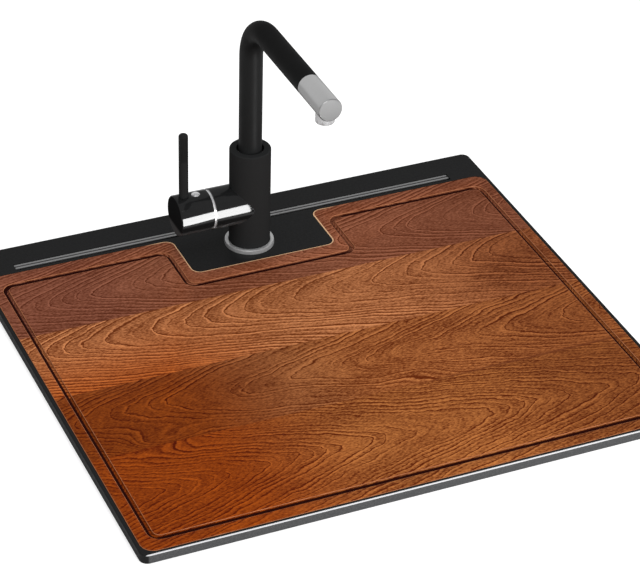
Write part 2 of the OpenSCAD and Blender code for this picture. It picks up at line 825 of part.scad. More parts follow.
module cartridge_turret() {
  color("#d9d4c4") difference() {
    union() {
      on_branch(cart_x) cylinder(r = neck_r, h = nut_l);
      on_branch(cart_x) cylinder(r = turret_r, h = cart_x - turret_x);
    }
    translate([turret_x - 1, tap_y - stem_a / 2 - stem_fit, branch_z - 2 * neck_r])
      cube([30, stem_a + 2 * stem_fit, 2 * neck_r + stem_swing]);
    translate([branch_x, tap_y - pin_l / 2, pivot_z]) rotate([-90, 0, 0])
      cylinder(r = pin_r, h = pin_l);
  }
}

module stem_pin() {
  color("#c9ccd0") translate([branch_x, tap_y - pin_l / 2, pivot_z]) rotate([-90, 0, 0])
    cylinder(r = pin_r, h = pin_l);
}

module cartridge_stem() {
  a = stem_a;
  color("#c9ccd0") difference() {
    union() {
      translate([branch_x, tap_y - a / 2, pivot_z]) rotate([-90, 0, 0])
        cylinder(r = stem_eye_r, h = a);
      translate([branch_x - stem_eye_r, tap_y - a / 2, pivot_z])
        cube([2 * stem_eye_r, a, branch_z + a / 2 - pivot_z]);
      translate([branch_x - stem_l, tap_y - a / 2, branch_z - a / 2]) cube([stem_l, a, a]);
    }
    translate([branch_x, tap_y - a, pivot_z]) rotate([-90, 0, 0])
      cylinder(r = pin_r + pin_fit, h = 2 * a);
  }
}

module control_knob() {
  a = stem_a / 2 + stem_fit;
  clear = trim_t + 0.3;
  color("#2a2a2a") difference() {
    on_branch(knob_x) round_top(branch_r, knob_l, knob_edge_r);
    on_branch(knob_x + 1) cylinder(r = knob_hole_r, h = knob_hole_l + 1);
    translate([branch_x - stem_l - 0.1, tap_y - a, branch_z - a]) cube([stem_l, 2 * a, 2 * a]);
    // Below the pin the inner end is cut back, so that the knob can tip outward
    translate([branch_x, tap_y, pivot_z]) rotate([0, tilt_open, 0])
      translate([-clear, -cut_past, -cut_past]) cube([cut_past, 2 * cut_past, 2 * cut_past]);
    translate([lever_x, tap_y, lever_foot]) cylinder(r = lever_r + pin_fit, h = 40);
    translate([plug_x, tap_y, branch_z]) cylinder(r = grub_r + pin_fit, h = 40);
    translate([plug_x, tap_y, grub_top + 0.5]) cylinder(r = plug_stem_r + pin_fit, h = 40);
    translate([plug_x, tap_y, knob_top - 0.45]) cylinder(r = plug_r + pin_fit, h = 10);
  }
}

module lever_rod() {
  color("#262626") translate([lever_x, tap_y, lever_foot])
    round_top(lever_r, lever_top - lever_foot, 3);
}

module grub_screw() {
  color("#9a9da1") translate([plug_x, tap_y, branch_z + stem_a / 2]) difference() {
    cylinder(r = grub_r, h = grub_top - branch_z - stem_a / 2);
    translate([0, 0, grub_top - branch_z - stem_a / 2 - 3]) cylinder(r = 1.4, h = 4, $fn = 6);
  }
}

module knob_plug() {
  dome = 2;
  s = (plug_r * plug_r + dome * dome) / (2 * dome);
  color("#dfe1e3") translate([plug_x, tap_y, 0]) {
    translate([0, 0, grub_top + 1]) cylinder(r = plug_stem_r, h = knob_top - grub_top - 1.4);
    translate([0, 0, knob_top - 0.45]) intersection() {
      cylinder(r = plug_r, h = dome + 1);
      translate([0, 0, dome - s + 0.3]) sphere(s);
    }
  }
}

// ---------- tap: spout ----------

module spout_bush() {
  color("#e8e6df") translate([tap_x, tap_y, 0]) difference() {
    translate([0, 0, bush_foot]) tube(spout_hole_r - 0.03, spout_r + bush_fit, bush_top - bush_foot);
    translate([0, 0, lock_z]) rotate([-90, 0, 0]) cylinder(r = lock_r + thread_gap, h = 30);
  }
}

module spout_lock_screw() {
  l = body_r - lock_groove_r - 1.3;
  color("#8f9296") translate([tap_x, tap_y + lock_groove_r + 0.3, lock_z]) rotate([-90, 0, 0])
    difference() {
      cylinder(r = lock_r, h = l);
      translate([0, 0, l - 2]) cylinder(r = 1.1, h = 4, $fn = 6);
    }
}

// Upright, elbow and arm, of the radius r; the bore is cut by the same shape
module spout_run(r, foot, end) {
  translate([tap_x, tap_y, foot]) cylinder(r = r, h = arm_z - elbow_r - foot);
  translate([tap_x, elbow_y, arm_z - elbow_r]) rotate([0, -90, 0]) rotate_extrude(angle = 90)
    translate([elbow_r, 0]) circle(r);
  on_arm(elbow_y) cylinder(r = r, h = elbow_y - end);
}

module spout_tube() {
  color("#232323") difference() {
    spout_run(spout_r, spout_foot, head_y + head_gap);
    spout_run(spout_bore_r, spout_foot - 1, head_y - 1);
    translate([tap_x, tap_y, lock_z - lock_w / 2]) tube(spout_r + 2, lock_groove_r, lock_w);
    for (z = seal_zs) translate([tap_x, tap_y, z - 1])
      tube(spout_r + 2, spout_r - 2 * seal_r - 0.05, 2);
  }
}

module spout_seals() {
  color("#151515") for (z = seal_zs) translate([tap_x, tap_y, z])
    rotate_extrude() translate([spout_r - seal_r, 0]) circle(seal_r);
}

module spray_head() {
  color("#a5a5a5") difference() {
    union() {
      on_arm(head_y) round_top(spout_r, head_l, head_edge_r);
      on_arm(head_y + spigot_l) cylinder(r = spigot_r, h = spigot_l + 1);
    }
    on_arm(head_y + spigot_l + 1) cylinder(r = hose_r + 0.05, h = spigot_l - 3);
    translate([tap_x, aerator_y, aerator_z - 1])
      cylinder(r = aerator_r + 0.05, h = aerator_up - aerator_z + 1);
    translate([tap_x, aerator_y, arm_z]) rotate([-90, 0, 0])
      cylinder(r = 4, h = head_y - aerator_y + 6);
    on_arm(head_y + 8) tube(spout_bore_r + 1, spigot_r - 1.55, 2);
  }
}

module spray_seal() {
  color("#151515") on_arm(head_y + 7) rotate_extrude() translate([spigot_r - 0.75, 0]) circle(0.75);
}

module spray_hose() {
  color("#5c5f63") on_arm(hose_end) difference() {
    cylinder(r = hose_r, h = hose_end - head_y - 4.5);
    translate([0, 0, -1]) cylinder(r = 3.5, h = hose_end - head_y);
  }
}

module aerator_collar() {
  color("#d0d2d4") translate([tap_x, aerator_y, aerator_z]) difference() {
    rotate_extrude() polygon([
      [7.4, 0], [aerator_r - 0.6, 0], [aerator_r, 0.6], [aerator_r, aerator_up - aerator_z - 0.1],
      [7.4, aerator_up - aerator_z - 0.1]
    ]);
  }
}

module aerator_insert() {
  color("#8d9093") translate([tap_x, aerator_y, aerator_z + 1]) difference() {
    cylinder(r = 7.35, h = 6);
    for (ring = [[2.3, 6], [4.6, 12], [6.3, 18]], k = [1:ring[1]])
      rotate([0, 0, k * 360 / ring[1]]) translate([ring[0], 0, -1]) cylinder(r = 0.75, h = 3);
    translate([0, 0, -1]) cylinder(r = 0.75, h = 3);
  }
}

sink_moulding();
slot_rail();
rim_seal();
mounting_clips();
clip_screws();
cutting_board();
strainer_flange();
strainer_gasket();
waste_gasket();
waste_body();
waste_screw();
strainer_basket();
basket_post();
basket_seal();
overflow_cover();
overflow_seal();
overflow_pipe();
tap_base_ring();
base_seal();
tap_body();
threaded_shank();
rubber_washer();
clamp_washer();
shank_nut();
mixer_cartridge();
cartridge_nut();
trim_ring();
cartridge_turret();
stem_pin();
cartridge_stem();
control_knob();
lever_rod();
grub_screw();
knob_plug();
spout_bush();
spout_lock_screw();
spout_tube();
spout_seals();
spray_head();
spray_seal();
spray_hose();
aerator_collar();
aerator_insert();
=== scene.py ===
import math

import bpy
from mathutils import Matrix, Quaternion, Vector


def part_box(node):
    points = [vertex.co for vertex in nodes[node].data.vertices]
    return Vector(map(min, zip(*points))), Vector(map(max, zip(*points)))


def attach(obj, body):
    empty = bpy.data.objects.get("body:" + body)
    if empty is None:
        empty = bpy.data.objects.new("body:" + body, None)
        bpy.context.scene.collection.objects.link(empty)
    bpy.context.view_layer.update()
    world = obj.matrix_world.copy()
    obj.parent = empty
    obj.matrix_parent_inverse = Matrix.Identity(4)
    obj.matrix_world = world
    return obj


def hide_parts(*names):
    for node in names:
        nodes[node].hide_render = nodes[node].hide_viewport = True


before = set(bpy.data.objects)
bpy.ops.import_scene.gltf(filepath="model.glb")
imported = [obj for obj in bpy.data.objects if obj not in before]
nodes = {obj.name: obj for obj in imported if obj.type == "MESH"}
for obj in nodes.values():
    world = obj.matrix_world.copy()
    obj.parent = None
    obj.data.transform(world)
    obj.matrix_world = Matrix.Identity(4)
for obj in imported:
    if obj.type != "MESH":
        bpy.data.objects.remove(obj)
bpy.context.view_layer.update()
bpy.ops.object.select_all(action="DESELECT")

# ---------- Camera ----------
# A long lens from the front left, looking down on the sink at about 34 degrees,
# with the slight roll of the product picture.
CAMERA_AT = Vector((-0.88216, -1.94518, 1.4914))
YAW, PITCH, ROLL = math.radians(24.315), math.radians(33.859), math.radians(1.607)
SENSOR_MM = 36
FOCAL_PX, PICTURE_PX = 2677.3, 640   # the focal length and the picture's width, in pixels
look = Vector((math.sin(YAW) * math.cos(PITCH),
               math.cos(YAW) * math.cos(PITCH),
               -math.sin(PITCH)))
level = Vector((math.cos(YAW), -math.sin(YAW), 0))
upward = level.cross(look)
side = level * math.cos(ROLL) + upward * math.sin(ROLL)
crown = upward * math.cos(ROLL) - level * math.sin(ROLL)
bpy.ops.object.camera_add(location=CAMERA_AT)
camera = bpy.context.object
camera.rotation_mode = "QUATERNION"
camera.rotation_quaternion = Matrix((side, crown, -look)).transposed().to_quaternion()
camera.data.sensor_width = SENSOR_MM
camera.data.lens = FOCAL_PX * SENSOR_MM / PICTURE_PX
camera.data.clip_start = 0.1
camera.data.clip_end = 60
bpy.context.scene.camera = camera

# ---------- Sink moulding ----------
# The bowl, deck and rim are one casting of black quartz composite, with a fine mineral grain.
# Its front edge is ground after casting, which opens the grain and leaves it greyer. That
# face is also painted lighter, for the light that falls on it from the front.
GROUND_AND_LIT_Y = -0.25470, -0.25495   # where the ground face, painted lighter as lit, starts and where it is complete
ARRIS_HIGHLIGHT_Y = -0.2537, -0.2541      # the same for the painted highlight along its upper edge
ARRIS_HIGHLIGHT_Z = 0.0081, 0.0085


def surface(name, colour, roughness, metallic=0.0, specular=0.5):
    """A material with one shader, whose plain values sit on the shader's own sockets."""
    mat = bpy.data.materials.new(name)
    mat.use_nodes = True
    tree = mat.node_tree
    shader = tree.nodes["Principled BSDF"]
    shader.inputs["Base Color"].default_value = (*colour, 1)
    shader.inputs["Roughness"].default_value = roughness
    shader.inputs["Metallic"].default_value = metallic
    shader.inputs["Specular IOR Level"].default_value = specular
    return mat, tree, shader


def place(tree, scale=(1, 1, 1), shift=(0, 0, 0)):
    """The object's own coordinates in metres, scaled and shifted for one pattern."""
    coordinates = tree.nodes.new("ShaderNodeTexCoord")
    mapping = tree.nodes.new("ShaderNodeMapping")
    mapping.inputs["Scale"].default_value = scale
    mapping.inputs["Location"].default_value = shift
    tree.links.new(coordinates.outputs["Object"], mapping.inputs["Vector"])
    return mapping.outputs["Vector"]


def axes_of(tree):
    """A point's three coordinates in metres."""
    axes = tree.nodes.new("ShaderNodeSeparateXYZ")
    tree.links.new(place(tree), axes.inputs["Vector"])
    return axes.outputs["X"], axes.outputs["Y"], axes.outputs["Z"]


def noise(tree, vector, scale=1.0, detail=2.0, roughness=0.5):
    """The value of a noise pattern with features of about 1 / scale."""
    texture = tree.nodes.new("ShaderNodeTexNoise")
    texture.inputs["Scale"].default_value = scale
    texture.inputs["Detail"].default_value = detail
    texture.inputs["Roughness"].default_value = roughness
    tree.links.new(vector, texture.inputs["Vector"])
    return texture.outputs["Fac"]


def socket_or_value(tree, target, value):
    """Links a socket to the target, or sets a plain value on it."""
    if isinstance(value, bpy.types.NodeSocket):
        tree.links.new(value, target)
    else:
        target.default_value = value


def calc(tree, operation, a, b=0.0):
    """One step of arithmetic on values or sockets."""
    step = tree.nodes.new("ShaderNodeMath")
    step.operation = operation
    for target, value in zip(step.inputs, (a, b)):
        socket_or_value(tree, target, value)
    return step.outputs["Value"]


def plus(tree, a, b):
    return calc(tree, "ADD", a, b)


def minus(tree, a, b):
    return calc(tree, "SUBTRACT", a, b)


def times(tree, a, b):
    return calc(tree, "MULTIPLY", a, b)


def over(tree, a, b):
    return calc(tree, "DIVIDE", a, b)


def fade(tree, value, low, high, to_low=0.0, to_high=1.0):
    """Maps value from low..high to to_low..to_high, smoothly and no further."""
    step = tree.nodes.new("ShaderNodeMapRange")
    step.interpolation_type = "SMOOTHSTEP"
    for target, number in zip(step.inputs, (value, low, high, to_low, to_high)):
        socket_or_value(tree, target, number)
    return step.outputs["Result"]


def blend_colours(tree, factor, first, second, way="MIX"):
    """Mixes two colours or colour sockets by a factor."""
    step = tree.nodes.new("ShaderNodeMix")
    step.data_type = "RGBA"
    step.blend_type = way
    socket_or_value(tree, step.inputs["Factor"], factor)
    for target, colour in zip(step.inputs[6:8], (first, second)):
        is_socket = isinstance(colour, bpy.types.NodeSocket)
        socket_or_value(tree, target, colour if is_socket else (*colour, 1))
    return step.outputs[2]


def paint(tree, shader, colour=None, roughness=None):
    """Lets patterns drive the shader's colour and roughness."""
    for name, pattern in (("Base Color", colour), ("Roughness", roughness)):
        if pattern is not None:
            tree.links.new(pattern, shader.inputs[name])


def relief(tree, shader, height, distance, strength=1.0):
    """Raises the surface's shading by a height pattern of the given depth in metres."""
    bump = tree.nodes.new("ShaderNodeBump")
    bump.inputs["Strength"].default_value = strength
    bump.inputs["Distance"].default_value = distance
    tree.links.new(height, bump.inputs["Height"])
    tree.links.new(bump.outputs["Normal"], shader.inputs["Normal"])


def finish_with(mat, *names):
    """Gives CAD nodes their material."""
    for name in names:
        for material_slot in nodes[name].material_slots:
            material_slot.material = mat


composite, tree, shader = surface("black composite", (0.012, 0.012, 0.0122), 0.45, specular=0.2)
_, y, z = axes_of(tree)
grain = noise(tree, place(tree), 1400, 3, 0.65)
mineral = noise(tree, place(tree), 420, 2)
dark = blend_colours(tree, fade(tree, grain, 0.42, 0.66),
                     (0.0098, 0.0099, 0.0102), (0.0138, 0.0139, 0.0141))
# The ground front face: its own grey, painted lighter as the light falling on it
ground_and_lit_grey = blend_colours(tree, fade(tree, grain, 0.38, 0.62),
                       (0.034, 0.035, 0.036), (0.105, 0.105, 0.106))
ground_and_lit_grey = blend_colours(tree, fade(tree, mineral, 0.35, 0.7), ground_and_lit_grey, (0.057, 0.058, 0.060))
coat = blend_colours(tree, fade(tree, y, *GROUND_AND_LIT_Y), dark, ground_and_lit_grey)
# A bright line along the front face's upper edge is a painted highlight
arris_highlight = times(tree, fade(tree, y, *ARRIS_HIGHLIGHT_Y), fade(tree, z, *ARRIS_HIGHLIGHT_Z))
coat = blend_colours(tree, arris_highlight, coat, (0.56, 0.56, 0.57))
paint(tree, shader, coat, fade(tree, mineral, 0.3, 0.7, 0.38, 0.52))
relief(tree, shader, grain, 0.00004, 0.5)
finish_with(composite, "sink_moulding")

# ---------- Rim seal, clips and their screws ----------
# A foam strip lies in the groove under the rim. Eight bent steel clips reach under the worktop
# and draw the sink down on it; a slotted screw holds each to the moulding's side.
SAME_POINT = 0.000002
FLAT, SMOOTH, SHARP = math.radians(1), math.radians(30), math.radians(35)


def one_pattern(name, colour, roughness, grain, tones=None, glosses=None, depth=None,
                strength=0.4, stretch=(1, 1, 1), **shine):
    """A material whose tone, gloss and relief all follow one noise pattern.

    grain is the noise's scale, detail and roughness, and stretch makes it finer along an axis.
    """
    mat, tree, shader = surface(name, colour, roughness, **shine)
    pattern = noise(tree, place(tree, scale=stretch), *grain)
    if tones:
        paint(tree, shader, colour=blend_colours(tree, pattern, *tones))
    if glosses:
        paint(tree, shader, roughness=fade(tree, pattern, 0.3, 0.7, *glosses))
    if depth:
        relief(tree, shader, pattern, depth, strength)
    return mat


def softened(name, body, mat, width, segments=2, edge_mat=None):
    """A copy of a CAD node with its edges broken by a small rounding, shown in its place."""
    bpy.ops.object.select_all(action="DESELECT")
    source = nodes[name]
    piece = source.copy()
    piece.data = source.data.copy()
    piece.parent = None
    for key in list(piece.keys()):
        del piece[key]
    bpy.context.scene.collection.objects.link(piece)
    piece.name = name + "_shown"
    bpy.context.view_layer.objects.active = piece
    piece.select_set(True)
    bpy.ops.object.mode_set(mode="EDIT")
    bpy.ops.mesh.select_all(action="SELECT")
    bpy.ops.mesh.customdata_custom_splitnormals_clear()
    bpy.ops.mesh.remove_doubles(threshold=SAME_POINT)
    bpy.ops.mesh.dissolve_limited(angle_limit=FLAT)
    bpy.ops.object.mode_set(mode="OBJECT")
    edge = piece.modifiers.new("soft edges", "BEVEL")
    edge.width = width
    edge.segments = segments
    edge.limit_method = "ANGLE"
    edge.angle_limit = SHARP
    edge.miter_outer = "MITER_ARC"
    piece.data.materials.clear()
    piece.data.materials.append(mat)
    if edge_mat:
        piece.data.materials.append(edge_mat)
        edge.material = 1
    bpy.ops.object.modifier_apply(modifier=edge.name)
    bpy.ops.object.shade_smooth_by_angle(angle=SMOOTH)
    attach(piece, body)
    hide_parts(name)
    return piece


foam = one_pattern("foam seal", (0.035, 0.035, 0.036), 0.95, grain=(2200, 2, 0.6),
                   tones=((0.02, 0.02, 0.021), (0.06, 0.06, 0.062)),
                   depth=0.0001, strength=1.0, specular=0.2)
finish_with(foam, "rim_seal")

zinc, tree, shader = surface("zinc plating", (0.52, 0.53, 0.54), 0.34, metallic=0.7)
spangle = noise(tree, place(tree), 260, 3, 0.6)
drawn = noise(tree, place(tree, scale=(900, 900, 60)))
paint(tree, shader, blend_colours(tree, spangle, (0.44, 0.45, 0.46), (0.62, 0.62, 0.61)),
      fade(tree, drawn, 0.3, 0.7, 0.26, 0.44))
relief(tree, shader, drawn, 0.00002, 0.4)
finish_with(zinc, "clip_screws", "clamp_washer")
softened("mounting_clips", "sink", zinc, width=0.0003)

# ---------- Slot rail ----------
# A brushed aluminium profile with two ridges lies in the slot behind the board. Its bottom
# between and beside the ridges is painted darker, as the shade down between them.
SHADE_BELOW_RIDGES = 0.0082, 0.0076
rail_metal, tree, shader = surface("brushed rail", (0.5, 0.5, 0.505), 0.4, metallic=0.7)
_, _, z = axes_of(tree)
brushing = noise(tree, place(tree, scale=(12, 2600, 2600)), 1, 3, 0.6)
bright = blend_colours(tree, brushing, (0.36, 0.36, 0.362), (0.56, 0.56, 0.56))
# The bottom below the ridges is painted darker, as shade
paint(tree, shader,
      blend_colours(tree, fade(tree, z, *SHADE_BELOW_RIDGES), bright, (0.15, 0.15, 0.152)),
      fade(tree, brushing, 0.3, 0.7, 0.34, 0.5))
relief(tree, shader, brushing, 0.00003, 0.6)
softened("slot_rail", "sink", rail_metal, width=0.00025)

# ---------- Cutting board ----------
# Four wide staves of an oiled reddish hardwood, glued edge to edge, with flat-sawn figure.
# A round-bottomed groove runs round it, and its edges are broken with sandpaper.

# Lengths on the board are in millimetres: along is to the right, across is to the back
MM = 0.001
BOARD_TOP = 9.2
FRONT_JOINT, MIDDLE_JOINT, REAR_JOINT = -111, -9, 96
# Each stave: the joint at its front, the middle line of its figure, how round the tips of the
# arcs are, how far they are drawn out, which way they point, its pale and dark colour, and
# where in the ring pattern it starts.
STAVES = (
    (None, -176, 12, 3.2, -1, (0.440, 0.152, 0.038), (0.098, 0.014, 0.001), 11.0),
    (FRONT_JOINT, -56, 14, 3.6, 1, (0.490, 0.170, 0.048), (0.112, 0.017, 0.001), 230.0),
    (MIDDLE_JOINT, 66, 25, 4.2, 1, (0.620, 0.236, 0.088), (0.145, 0.029, 0.004), 470.0),
    (REAR_JOINT, 142, 22, 3.6, 1, (0.345, 0.120, 0.060), (0.118, 0.026, 0.008), 700.0),
)
# Small knots: where, how far they push the rings aside, and their half length and width
KNOTS = (
    (68, -57, 16, 15, 8),
    (-203, -103, 22, 24, 11),
    (-104, -69, 7, 22, 12),
    (58, -96, -10, 20, 9),
)
RING = 4.6                # how far apart the rings lie
RING_START = 0.66         # the part of a ring's width where it begins
DARK_AT, PALE_AT = 0.5, 1.1   # the dark line lies inward of the start, the pale one outward
DEPTH_RATE = 1.6          # how fast the rings move sideways with depth
SLOW_SWAY, SWAY_REACH = (6, 12, 12), 24.0
RIPPLE_FRONT, RIPPLE_REAR, FRAY = 8.0, 3.6, 1.2
# The notch's inner and outer corners: the arc's centre, from the middle and back, and its radius
FOOT_OUT, FOOT_BACK, FOOT_RADIUS = 67.8, 151.8, 9.0
MOUTH_OUT, MOUTH_BACK, MOUTH_RADIUS = 86.8, 198.0, 10.0
MOUTH_FROM = 165.0              # behind this line the outer corners count
MOUTH_END = 110.0, 90.0         # the painted highlight strip fades out this far from the middle
HIGHLIGHT_STRIP = 0.9, 1.5               # how wide the painted highlight strip is, and its soft edge
SHADE_TOWARD = (0.6, -0.3, 1)   # faces turned this way get the painted shade
GROOVE_DEPTH = 4
# How pale the wood is, and how much its pale and dark lines change that
PALENESS, OILY_PALENESS, PALE_LINE, DARK_LINE = 0.44, 0.45, 0.52, 1.05
# Where the tone changes, from the first place to the second
OILY_LEFT, OILY_FRONT = (-20, -175), (90, -40)
BROWNER_LEFT, DARKER_RIGHT, SHADED_LEFT = (40, -110), (60, 240), (-90, -200)
BOLDER_BACK, GLUE_RIGHT = (-70, 0), (20, 150)
LESS_SHADE_LEFT, LESS_SHADE_RIGHT, LESS_SHADE_BACK = (78, 82), (108, 100), (122, 128)
OILY, BROWNER, DARKER = (0.86, 0.48, 0.10), (0.76, 0.84, 1.10), (0.56, 0.46, 0.39)
SHADED, GLUE, GROOVE_SHADE = (0.85, 0.83, 0.92), (0.13, 0.030, 0.008), (0.022, 0.002, 0.001)
# The pale colour of the painted highlight round the notch
NOTCH_HIGHLIGHT = (0.75, 0.47, 0.27)


def squared(tree, value):
    return calc(tree, "POWER", value, 2.0)


def length_of(tree, a, b):
    """How long a step of a one way and b the other is."""
    return calc(tree, "SQRT", plus(tree, squared(tree, a), squared(tree, b)))


def choose(tree, factor, first, second):
    """Mixes two values by a factor."""
    step = tree.nodes.new("ShaderNodeMix")
    for target, value in zip(step.inputs, (factor, None, first, second)):
        if value is not None:
            socket_or_value(tree, target, value)
    return step.outputs["Result"]


def band(tree, value, core, edge, full=1.0):
    """Full where value is near zero, and nothing beyond the edge on either side."""
    return fade(tree, calc(tree, "ABSOLUTE", value), core, edge, full, 0.0)


def sway_of(tree, scale, shift=(0, 0, 0)):
    """A pattern that swings to both sides of zero."""
    return minus(tree, noise(tree, place(tree, scale=scale, shift=shift)), 0.5)


def streaks(tree, figure, along, across_mm, along_mm, detail=2.0, seed=0.0):
    """A noise drawn out along the growth rings."""
    spot = tree.nodes.new("ShaderNodeCombineXYZ")
    tree.links.new(over(tree, figure, across_mm), spot.inputs["X"])
    tree.links.new(over(tree, along, along_mm), spot.inputs["Y"])
    spot.inputs["Z"].default_value = seed
    return noise(tree, spot.outputs["Vector"], 1, detail, 0.6)


def wood_figure(tree, along, across, height):
    """The growth rings: a field that rises toward the heart, its slope, and the colours."""
    sway = sway_of(tree, SLOW_SWAY)
    ripple = sway_of(tree, (38, 60, 60), shift=(3, 5, 7))
    fray = sway_of(tree, (240, 420, 420))
    wild = fade(tree, across, MIDDLE_JOINT - 5, MIDDLE_JOINT + 5, RIPPLE_FRONT, RIPPLE_REAR)
    bend = plus(tree, times(tree, ripple, wild), times(tree, fray, FRAY))
    for x, y, push, long, wide in KNOTS:
        far = squared(tree, over(tree, minus(tree, along, x), long))
        off = squared(tree, over(tree, minus(tree, across, y), wide))
        hill = calc(tree, "EXPONENT", times(tree, plus(tree, far, off), -0.5))
        bend = plus(tree, bend, times(tree, hill, push))
    for joint, middle, tip, reach, points, pale, deep, start in STAVES:
        off = plus(tree, minus(tree, across, middle), times(tree, sway, SWAY_REACH))
        arms = calc(tree, "SQRT", plus(tree, times(tree, off, off), tip * tip))
        run = times(tree, along, points / reach)
        field = plus(tree, minus(tree, run, arms), start)
        lean = squared(tree, over(tree, off, arms))
        steep = calc(tree, "SQRT", plus(tree, lean, 1 / reach ** 2))
        if joint is None:
            # The front stave is the ground on which the others are laid
            figure, slope, light, dark = field, steep, pale, deep
            continue
        here = calc(tree, "GREATER_THAN", across, joint)
        figure = choose(tree, here, figure, field)
        slope = choose(tree, here, slope, steep)
        light = blend_colours(tree, here, light, pale)
        dark = blend_colours(tree, here, dark, deep)
    # The rings also run down into the board, so its sides show them as long level lines
    sunk = minus(tree, over(tree, height, MM), BOARD_TOP)
    bend = plus(tree, bend, times(tree, sunk, DEPTH_RATE))
    return plus(tree, figure, bend), slope, light, dark


def notch_highlight_mask(tree, along, across):
    """The last millimetre or so round the notch, painted pale as the highlight on its rounded
    edge.
    """
    out = calc(tree, "ABSOLUTE", along)

    def past(sideways, backward):
        """How far a point lies from an arc's centre, counting only the sides past it."""
        return length_of(tree, calc(tree, "MAXIMUM", sideways, 0.0),
                         calc(tree, "MAXIMUM", backward, 0.0))

    foot = past(minus(tree, out, FOOT_OUT), minus(tree, FOOT_BACK, across))
    mouth = past(minus(tree, MOUTH_OUT, out), minus(tree, across, MOUTH_BACK))
    off = choose(tree, calc(tree, "GREATER_THAN", across, MOUTH_FROM),
                 minus(tree, foot, FOOT_RADIUS), minus(tree, MOUTH_RADIUS, mouth))
    return times(tree, fade(tree, off, *HIGHLIGHT_STRIP, 1.0, 0.0), fade(tree, out, *MOUTH_END))


board_wood, tree, shader = surface("oiled wood", (0.3, 0.09, 0.03), 0.55, specular=0.06)
x, y, height = axes_of(tree)
along, across = over(tree, x, MM), over(tree, y, MM)
figure, slope, light, dark = wood_figure(tree, along, across, height)

# Each ring is a thin dark line with a pale band outside it, some strong and some faint
wander = streaks(tree, figure, along, across_mm=46.0, along_mm=300.0, detail=1.0)
rings = plus(tree, over(tree, figure, RING), times(tree, wander, 4.0))
pick = tree.nodes.new("ShaderNodeTexWhiteNoise")
pick.noise_dimensions = "1D"
tree.links.new(calc(tree, "FLOOR", rings), pick.inputs["W"])
gaps = streaks(tree, figure, along, across_mm=3.0, along_mm=24.0, seed=4.3)
broken = fade(tree, gaps, 0.36, 0.60, 0.5, 1.0)
strong = times(tree, fade(tree, pick.outputs["Value"], 0.1, 0.9, 0.15, 1.0), broken)
strong = times(tree, strong, fade(tree, across, *BOLDER_BACK, 0.85, 1.35))
inward = minus(tree, calc(tree, "FRACT", rings), RING_START)
inward = over(tree, times(tree, inward, RING), slope)
dark_line = band(tree, minus(tree, inward, DARK_AT), 0.25, 0.95)
pale_line = band(tree, plus(tree, inward, PALE_AT), 0.5, 1.3)

# Between them lie the pores, fine short dashes along the grain
pores = noise(tree, place(tree, scale=(330, 950, 950)), 1, 2, 0.6)
thread = streaks(tree, figure, along, across_mm=3.0, along_mm=36.0, seed=8.1)
cloud = noise(tree, place(tree, scale=(9, 16, 16), shift=(8, 4, 1)))
paleness = PALENESS
for pattern, weight in ((pores, 2.2), (thread, 0.9), (cloud, 0.8)):
    paleness = plus(tree, paleness, times(tree, minus(tree, pattern, 0.5), weight))
paleness = plus(tree, paleness, times(tree, times(tree, pale_line, strong), PALE_LINE))
paleness = minus(tree, paleness, times(tree, times(tree, dark_line, strong), DARK_LINE))

# The front staves run to a redder, oilier colour at their left ends; the second is browner there
left_end = times(tree, fade(tree, along, *OILY_LEFT), fade(tree, across, *OILY_FRONT))
paleness = choose(tree, times(tree, left_end, 0.3), paleness, OILY_PALENESS)
held = calc(tree, "MAXIMUM", 0.0, calc(tree, "MINIMUM", 1.0, paleness))
wood = blend_colours(tree, held, dark, light)
wood = blend_colours(tree, left_end, wood, OILY, "MULTIPLY")
second_stave = times(tree, fade(tree, across, FRONT_JOINT - 0.6, FRONT_JOINT + 0.6),
                     fade(tree, across, MIDDLE_JOINT + 0.6, MIDDLE_JOINT - 0.6))
browner = times(tree, second_stave, fade(tree, along, *BROWNER_LEFT))
wood = blend_colours(tree, browner, wood, BROWNER, "MULTIPLY")

# All darken to the right, the third stave most and the rear one least
third_stave = times(tree, fade(tree, across, MIDDLE_JOINT - 5, MIDDLE_JOINT + 5),
                    fade(tree, across, REAR_JOINT + 4, REAR_JOINT - 4))
right_end = times(tree, fade(tree, along, *DARKER_RIGHT),
                  fade(tree, third_stave, 0.0, 1.0, 0.65, 1.0))
right_end = times(tree, right_end, fade(tree, across, REAR_JOINT - 4, REAR_JOINT + 4, 1.0, 0.55))
wood = blend_colours(tree, right_end, wood, DARKER, "MULTIPLY")
rear_left = times(tree, fade(tree, along, *SHADED_LEFT),
                  fade(tree, across, REAR_JOINT - 4, REAR_JOINT + 4))
wood = blend_colours(tree, rear_left, wood, SHADED, "MULTIPLY")

# The glue line between the two front staves shows dark to the right
off_joint = plus(tree, plus(tree, across, -FRONT_JOINT),
                 times(tree, sway_of(tree, SLOW_SWAY), 2.0))
glue = times(tree, band(tree, off_joint, 0.4, 2.6, 0.75), fade(tree, along, *GLUE_RIGHT))
wood = blend_colours(tree, glue, wood, GLUE)

